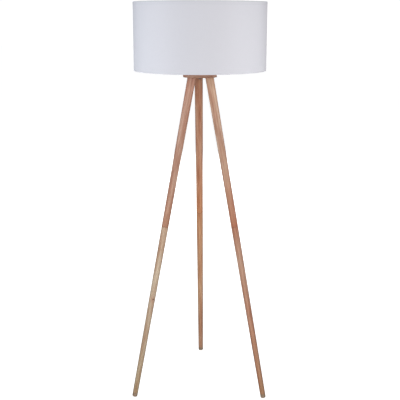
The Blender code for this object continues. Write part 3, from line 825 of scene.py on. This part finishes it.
def make_socket():
    """Ceramic insulator, brass screw shell and sprung centre contact."""
    radius, top, bottom = round_box("holder_insulator")
    groove = top - 0.0008
    puck = fillet([(0, top, 0), (0.0085, top, 0), (0.0092, groove, 0.0003), (0.0128, groove, 0.0003),
                   (0.0134, top, 0.0003), (radius, top, 0.0006), (radius, bottom, 0.0006),
                   (0, bottom, 0)])
    turned("ceramic_insulator", puck, "stand", "ceramic", "holder_insulator", segments=80)

    outer, shell_top, shell_bottom = round_box("holder_screw_shell")
    wave = 0.0006
    middle = rows([(outer - wave, shell_top), (outer - wave, shell_bottom)], 0.00045)

    def warp(angle, radius, height):
        fade = max(0.0, min(1.0, (height - shell_bottom) / 0.003, (shell_top - height) / 0.003))
        turn = 2 * math.pi * (height / SOCKET_PITCH - angle / (2 * math.pi))
        return radius + wave * 0.9 * fade * math.sin(turn), height
    turned("brass_screw_shell", ribbon(middle, BRASS_SHEET), "stand", "brass", "holder_screw_shell",
           closed=True, warp=warp, sharp=60)

    crest, heel = levels("holder_centre_contact")
    spring = smooth_route([(-0.0045, 0, heel + 0.0004), (-0.0015, 0, heel + 0.0008),
                           (0.0015, 0, crest - 0.0003), (0.0035, 0, crest - 0.0004),
                           (0.0046, 0, crest - 0.0012)])
    contact = strip("sprung_contact", spring, 0.0050, BRASS_SHEET, LOOK["brass"])
    finish_piece(contact, "stand", "brass", "holder_centre_contact")


def strip(name, route, width, thickness, material):
    """A bent strip of sheet metal, level across local Y."""
    middle = np.array([(point.x, point.z) for point in route])
    outline = ribbon(middle, thickness)
    count = len(outline)
    points = [(x, y, z) for y in (-width / 2, width / 2) for x, z in outline]
    faces = [[i, (i + 1) % count, (i + 1) % count + count, i + count] for i in range(count)]
    half = count // 2
    for start, flip in ((0, True), (count, False)):
        for i in range(half - 1):
            quad = [start + i, start + i + 1, start + count - 2 - i, start + count - 1 - i]
            faces.append(quad[::-1] if flip else quad)
    return mesh_object(name, points, faces, material, sharp=40)


def make_clamp_ring(name, node, body):
    """Threaded ring with grip ribs round it."""
    radius, top, bottom = round_box(node)
    bore = radius_of("holder_body") + LIP
    profile = fillet([(radius - 0.0006, top, 0.0009), (radius, top - 0.0012, 0.0005),
                      (radius, bottom + 0.0012, 0.0005), (radius - 0.0006, bottom, 0.0009),
                      (bore, bottom, 0.0005), (bore, top, 0.0005)], closed=True)
    count = 36
    turned(name, profile, body, "black_plastic", node, closed=True, segments=count * 6,
           warp=ribs(count, 0.0007, radius - 0.00075), sharp=30)


def reach(node):
    """Near and far end of a switch part, as distances in front of the lamp's axis."""
    lowest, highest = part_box(node)
    return AXIS.y - highest.y, AXIS.y - lowest.y


def make_switch():
    """Ribbed knob with a dished face, on its spindle."""
    near, far = reach("switch_knob")
    radius = radius_of("switch_knob")
    dish = far - 0.0005
    socket = far - 0.004
    profile = fillet([(0, dish, 0), (0.0040, dish, 0.0004), (0.0046, far, 0.0004),
                      (radius - 0.0006, far, 0.0014), (radius, near + 0.0028, 0.0006),
                      (radius, near + 0.0012, 0.0004), (radius - 0.0008, near, 0.0006),
                      (SPINDLE_HOLE, near, 0.0002), (SPINDLE_HOLE, socket, 0), (0, socket, 0)], steps=5)
    grip = ribs(18, 0.0008, radius - 0.0009, near + 0.0025, far - 0.0012)
    turned("rotary_knob", rows(profile, 0.0012), "switch", "black_plastic", "switch_knob",
           segments=144, warp=grip, matrix=switch_frame(), sharp=40)

    start, end = reach("switch_spindle")
    rod = 0.0030
    profile = fillet([(0, end, 0), (rod, end, 0.0004), (rod, start, 0.0004), (0, start, 0)])
    turned("knob_spindle", rows(profile, 0.004), "switch", "zinc_steel", "switch_spindle",
           segments=40, matrix=switch_frame())


# ---- shade ----------------------------------------------------------------------------
def make_shade_cloth():
    """Fabric rolled over both wire rings, with a glued overlap seam at the back."""
    bottom, top = SHADE_LOW.z, SHADE_HIGH.z
    wall = SHADE_RADIUS - CLOTH / 2
    ring = radius_of("shade_top_ring") - 0.0018
    roll = RING_WIRE / 2 + CLOTH / 2 + 0.0001
    ring_top = top - roll - CLOTH / 2
    ring_bottom = bottom + roll + CLOTH / 2
    inner = radius_of("shade_liner") - 0.0008
    inside = inner - CLOTH

    def rolled_edge(level, sign):
        """Path of the turned-in edge, from its free end to the outer wall."""
        hook = [(inside, level - sign * (HEM - roll)), (inside, level - sign * 0.0055),
                (inside - 0.0010, level - sign * 0.0036)]
        back = [(ring + roll * math.cos(t), level + sign * roll * math.sin(t))
                for t in np.linspace(math.radians(195), math.radians(90), 8)]
        rim = level + sign * roll
        front = fillet([(*back[-1], 0), (wall, rim, 0.0011), (wall, rim - sign * 0.0030, 0)])
        return hook + back + front[1:]

    upper = rolled_edge(ring_top, 1)
    lower = rolled_edge(ring_bottom, -1)
    path = upper + rows([upper[-1], lower[-1]], 0.006)[1:-1] + lower[::-1]
    seam = SEAM_WIDTH / SHADE_RADIUS     # as an angle

    def past(angle, start):
        """How far an angle lies beyond another, from -pi to pi."""
        return (angle - start + math.pi) % (2 * math.pi) - math.pi

    def warp(angle, radius, height):
        away = past(angle, SEAM_ANGLE)
        lift = 0.00035 * (seam - away) / seam if 0 <= away <= seam else 0.0
        hem_line = min(abs(height - (top - HEM)), abs(height - (bottom + HEM)))
        press = 0.00010 * math.exp(-(hem_line / 0.0012) ** 2)
        ripple = 0.00006 * math.sin(7 * angle + 11 * height) * math.sin(13 * angle - 23 * height)
        return radius + lift - press + ripple, height
    cloth = turned("shade_cloth", ribbon(path, CLOTH), "shade", "shade_fabric", "shade_fabric",
                   closed=True, segments=288, warp=warp, sharp=60)

    for node, level in (("shade_top_ring", ring_top), ("shade_bottom_ring", ring_bottom)):
        circle = [(ring + RING_WIRE / 2 * math.cos(t), level + RING_WIRE / 2 * math.sin(t))
                  for t in np.linspace(math.pi, -math.pi, 13)[:-1]]
        turned(f"{node}_wire", circle, "shade", "white_wire", node, closed=True, segments=192)

    skin = inner + 0.0002
    liner = rows([(skin, ring_top - 0.0030), (skin, ring_bottom + 0.0030)], 0.012)

    def liner_seam(angle, radius, height):
        return radius - (LINER if 0 <= past(angle, SEAM_ANGLE + 0.1) <= seam else 0.0), height
    turned("shade_lining", ribbon(liner, LINER), "shade", "shade_liner", "shade_liner",
           closed=True, segments=288, warp=liner_seam, sharp=60)

    return ring, ring_bottom


def make_fitter(ring, ring_level):
    """Hub, clamped between the lampholder's rings, and three wires out to the lower rim."""
    rim, top, bottom = round_box("fitter_ring")
    hub = 0.0202
    profile = fillet([(rim, top, 0.0012), (rim, bottom, 0.0012), (hub, bottom, 0.0008),
                      (hub, top, 0.0008)], closed=True, steps=5)
    turned("fitter_hub", profile, "shade", "white_wire", "fitter_ring", closed=True)
    middle = (top + bottom) / 2
    for number in (1, 2, 3):
        node = f"fitter_arm_{number}"
        away = centre_of(node) - AXIS
        away.z = 0
        away.normalize()
        start = rim - 0.0006
        corners = [(start, middle), (start + 0.012, middle), (start + 0.022, middle - 0.0008),
                   (start + 0.034, middle - 0.0042), (ring - 0.024, ring_level + 0.0042),
                   (ring - 0.012, ring_level + 0.0010), (ring - 0.0022, ring_level)]
        route = smooth_route([away * radius + Vector((0, 0, level)) for radius, level in corners])
        arm = tube(f"fitter_wire_{number}", route, ARM_WIRE / 2, LOOK["white_wire"])
        finish_piece(arm, "shade", "white_wire", node)


# ---- bulb -----------------------------------------------------------------------------
def make_bulb():
    """Globe bulb: opal globe, white housing, screw cap, black insulator and solder tip."""
    radius, top, skirt = round_box("bulb_globe")
    neck = radius_of("bulb_collar")
    centre = top - radius
    meet = math.acos(neck / radius)
    wall = 0.001
    outside = [(radius * math.sin(t), centre + radius * math.cos(t))
               for t in np.linspace(0, math.pi / 2 + meet - 0.12, 40)]
    outside += fillet([(*outside[-1], 0), (neck + 0.0002, skirt + 0.0075, 0.006),
                       (neck, skirt, 0)], steps=8)[1:]
    inside = [(0, top - wall)] + [(max(0.0, r - wall), z) for r, z in outside[1:]]
    turned("opal_globe", outside + inside[::-1], "bulb", "opal_diffuser", "bulb_globe", sharp=50)

    top, bottom = levels("bulb_collar")
    screw = radius_of("bulb_cap")
    body = fillet([(0, top, 0), (neck, top, 0.0004), (neck, top - 0.004, 0.001),
                   (neck - 0.0035, bottom + 0.010, 0.006), (screw + 0.0015, bottom + 0.0030, 0.002),
                   (screw + 0.0012, bottom, 0.0006), (0, bottom, 0)], steps=7)
    turned("bulb_housing", rows(body, 0.003), "bulb", "white_plastic", "bulb_collar")

    top, bottom = levels("bulb_cap")
    last = bottom + 0.0022
    side = rows([(screw, top), (screw, last)], 0.00045)
    base = fillet([(screw, last, 0), (screw - 0.0005, bottom + 0.001, 0.001),
                   (screw - 0.003, bottom, 0.001), (0, bottom, 0)])
    turned("bulb_screw_cap", [(0, top)] + side + base, "bulb", "nickel", "bulb_cap", sharp=60,
           warp=thread(SOCKET_PITCH, 0.0008, last, top - 0.0010, screw - 0.0001))

    top, bottom = levels("bulb_insulator")
    cone = fillet([(0, top, 0), (0.0095, top, 0.0004), (0.0085, top - 0.0012, 0.0008),
                   (0.0060, bottom, 0.0006), (0, bottom, 0)])
    turned("bulb_glass_insulator", cone, "bulb", "black_plastic", "bulb_insulator", segments=64)

    top, bottom = levels("bulb_tip_contact")
    tip = 0.0045
    crown = top - 0.0003
    dome = [(tip * math.cos(t), crown - (crown - bottom) * math.sin(t))
            for t in np.linspace(0, math.pi / 2, 7)[:-1]]
    turned("bulb_solder_tip", [(0, top), (tip, top)] + dome + [(0, bottom)], "bulb", "nickel",
           "bulb_tip_contact", segments=48)


# ---- CAD nodes that stay --------------------------------------------------------------
def dress_remaining_nodes():
    """CAD nodes take the finish of their slot, for the ones that no piece replaces."""
    for part in frame["record"]["subparts"]:
        materials = frame["nodes"][part["node"]].data.materials
        look = LOOK.get(part["material_slot"])
        if look:
            materials.clear()
            materials.append(look)


# ---- stage ----------------------------------------------------------------------------
def make_floor():
    """White studio floor, bright enough to meet the white world with no horizon."""
    s = Surface("pale_floor", Roughness=0.9, Emission_Color=(1, 1, 1, 1), Emission_Strength=FLOOR_GLOW)
    cloud = s.speckle(0.6)
    s.colour(s.mix(cloud, (0.83, 0.83, 0.83), (0.86, 0.86, 0.86)))
    size = 40
    corners = [(-size, -size, 0), (size, -size, 0), (size, size, 0), (-size, size, 0)]
    below_feet = Matrix.Translation((0, 0, -0.0005))
    floor = mesh_object("floor", corners, [[0, 1, 2, 3]], s.material, below_feet)
    floor.visible_diffuse = False
    floor.visible_glossy = False


def make_world():
    """White to the camera, and a softer even fill for the lamp."""
    world = bpy.data.worlds.new("studio")
    world.use_nodes = True
    bpy.context.scene.world = world
    tree = world.node_tree
    tree.nodes.clear()

    def background(colour, strength):
        made = tree.nodes.new("ShaderNodeBackground")
        made.inputs["Color"].default_value = colour
        made.inputs["Strength"].default_value = strength
        return made.outputs[0]
    path = tree.nodes.new("ShaderNodeLightPath")
    mix = tree.nodes.new("ShaderNodeMixShader")
    out = tree.nodes.new("ShaderNodeOutputWorld")
    tree.links.new(path.outputs["Is Camera Ray"], mix.inputs[0])
    tree.links.new(background(FILL_COLOUR, FILL), mix.inputs[1])
    tree.links.new(background((1, 1, 1, 1), SEEN_WHITE), mix.inputs[2])
    tree.links.new(mix.outputs[0], out.inputs[0])


def polar(azimuth, distance, height):
    """A point at an angle, in degrees from +X, and a distance from the lamp's axis."""
    angle = math.radians(azimuth)
    return AXIS + Vector((distance * math.cos(angle), distance * math.sin(angle), height))


def softbox(name, azimuth, distance, height, size, power, aim, tint=(1, 1, 1), spread=180):
    """A rectangular area light that faces a height on the lamp's axis."""
    light = bpy.data.lights.new(name, "AREA")
    light.shape = "RECTANGLE"
    light.size, light.size_y = size
    light.energy = power
    light.color = tint
    light.spread = math.radians(spread)
    lamp = bpy.data.objects.new(name, light)
    bpy.context.scene.collection.objects.link(lamp)
    lamp.visible_camera = False
    lamp.location = polar(azimuth, distance, height)
    facing = AXIS + Vector((0, 0, aim)) - lamp.location
    lamp.rotation_euler = facing.to_track_quat("-Z", "Y").to_euler()
    return lamp


SEEN_WHITE = 1.05            # strength of the world's white, as the camera sees it
FILL = 0.31                  # strength of the world's light on the lamp
FILL_COLOUR = (0.97, 0.98, 1.0, 1)
FLOOR_GLOW = 0.75
COOL = (0.88, 0.94, 1.0)
INSIDE_POWER = 26            # each of three lights from above that reach only these pieces
INSIDE_PIECES = ("shade_lining", "opal_globe", "bulb_housing", "bulb_screw_cap", "fitter_hub",
                 "fitter_wire_1", "fitter_wire_2", "fitter_wire_3")
CAMERA_DISTANCE = 2.898      # from the lamp's axis
CAMERA_HEIGHT = 1.4677
CAMERA_AZIMUTH = 271.04      # angles in degrees
CAMERA_YAW = -0.015
CAMERA_PITCH = 13.494        # downwards
CAMERA_ROLL = 0.08
CAMERA_LENS = 67.91          # mm


def make_camera():
    """Camera at about the shade's height that looks down at the whole lamp."""
    data = bpy.data.cameras.new("camera")
    data.sensor_width = 36
    data.lens = CAMERA_LENS
    camera = bpy.data.objects.new("camera", data)
    bpy.context.scene.collection.objects.link(camera)
    bpy.context.scene.camera = camera
    place = polar(CAMERA_AZIMUTH, CAMERA_DISTANCE, CAMERA_HEIGHT)
    heading = rotation(CAMERA_AZIMUTH + 90 + CAMERA_YAW, "Z")
    tilt = rotation(90 - CAMERA_PITCH, "X")
    camera.matrix_world = Matrix.Translation(place) @ heading @ tilt @ rotation(CAMERA_ROLL, "Z")


def make_lights():
    """Soft studio light all round, weaker on the shade's sides, and light inside the shade."""
    softbox("front_softbox", 270, 5.0, 1.5, (2.0, 2.4), 134, aim=0.75)
    softbox("low_softbox", 270, 2.2, 0.30, (0.9, 0.5), 2.0, aim=0.20, spread=60)
    softbox("shade_light_left", 203, 1.6, 1.10, (0.5, 0.6), 3.3, aim=1.40, tint=COOL, spread=90)
    softbox("shade_light_right", 337, 1.6, 1.10, (0.5, 0.6), 3.0, aim=1.40, spread=90)
    softbox("back_softbox", 90, 5.0, 2.2, (3.0, 2.4), 170, aim=0.8)
    inside = bpy.data.collections.new("inside_the_shade")
    for name in INSIDE_PIECES:
        inside.objects.link(bpy.data.objects[name])
    for azimuth in (270, 30, 150):
        light = softbox(f"inside_light_{azimuth}", azimuth, 2.2, 3.6, (1.2, 1.2), INSIDE_POWER, aim=1.4)
        light.light_linking.receiver_collection = inside


make_camera()
for leg_side in SIDES:
    make_leg_section(leg_side, "upper")
    make_leg_section(leg_side, "lower")
    make_foot(leg_side)
    washer = f"leg_washer_{leg_side}"
    make_washer(f"steel_washer_{leg_side}", washer, BOLT_HOLE, post(washer))
    make_bolt(leg_side)
make_plate()
make_washer("stem_flat_washer", "stem_washer", STEM_WASHER_BORE)
make_nut("stem_hex_nut", "stem_nut", "satin_dark_steel")
make_nut("cup_locknut", "stem_locknut", "zinc_steel")
make_collar()
make_gland()
make_holder_cup()
make_holder_body()
make_socket()
make_clamp_ring("knurled_rest_ring", "shade_rest_ring", "stand")
make_clamp_ring("knurled_ring_nut", "shade_ring_nut", "shade_ring")
make_switch()
wire_circle, wire_level = make_shade_cloth()
make_fitter(wire_circle, wire_level)
make_bulb()
dress_remaining_nodes()
make_floor()
make_world()
make_lights()
bpy.context.scene.view_settings.view_transform = "Standard"
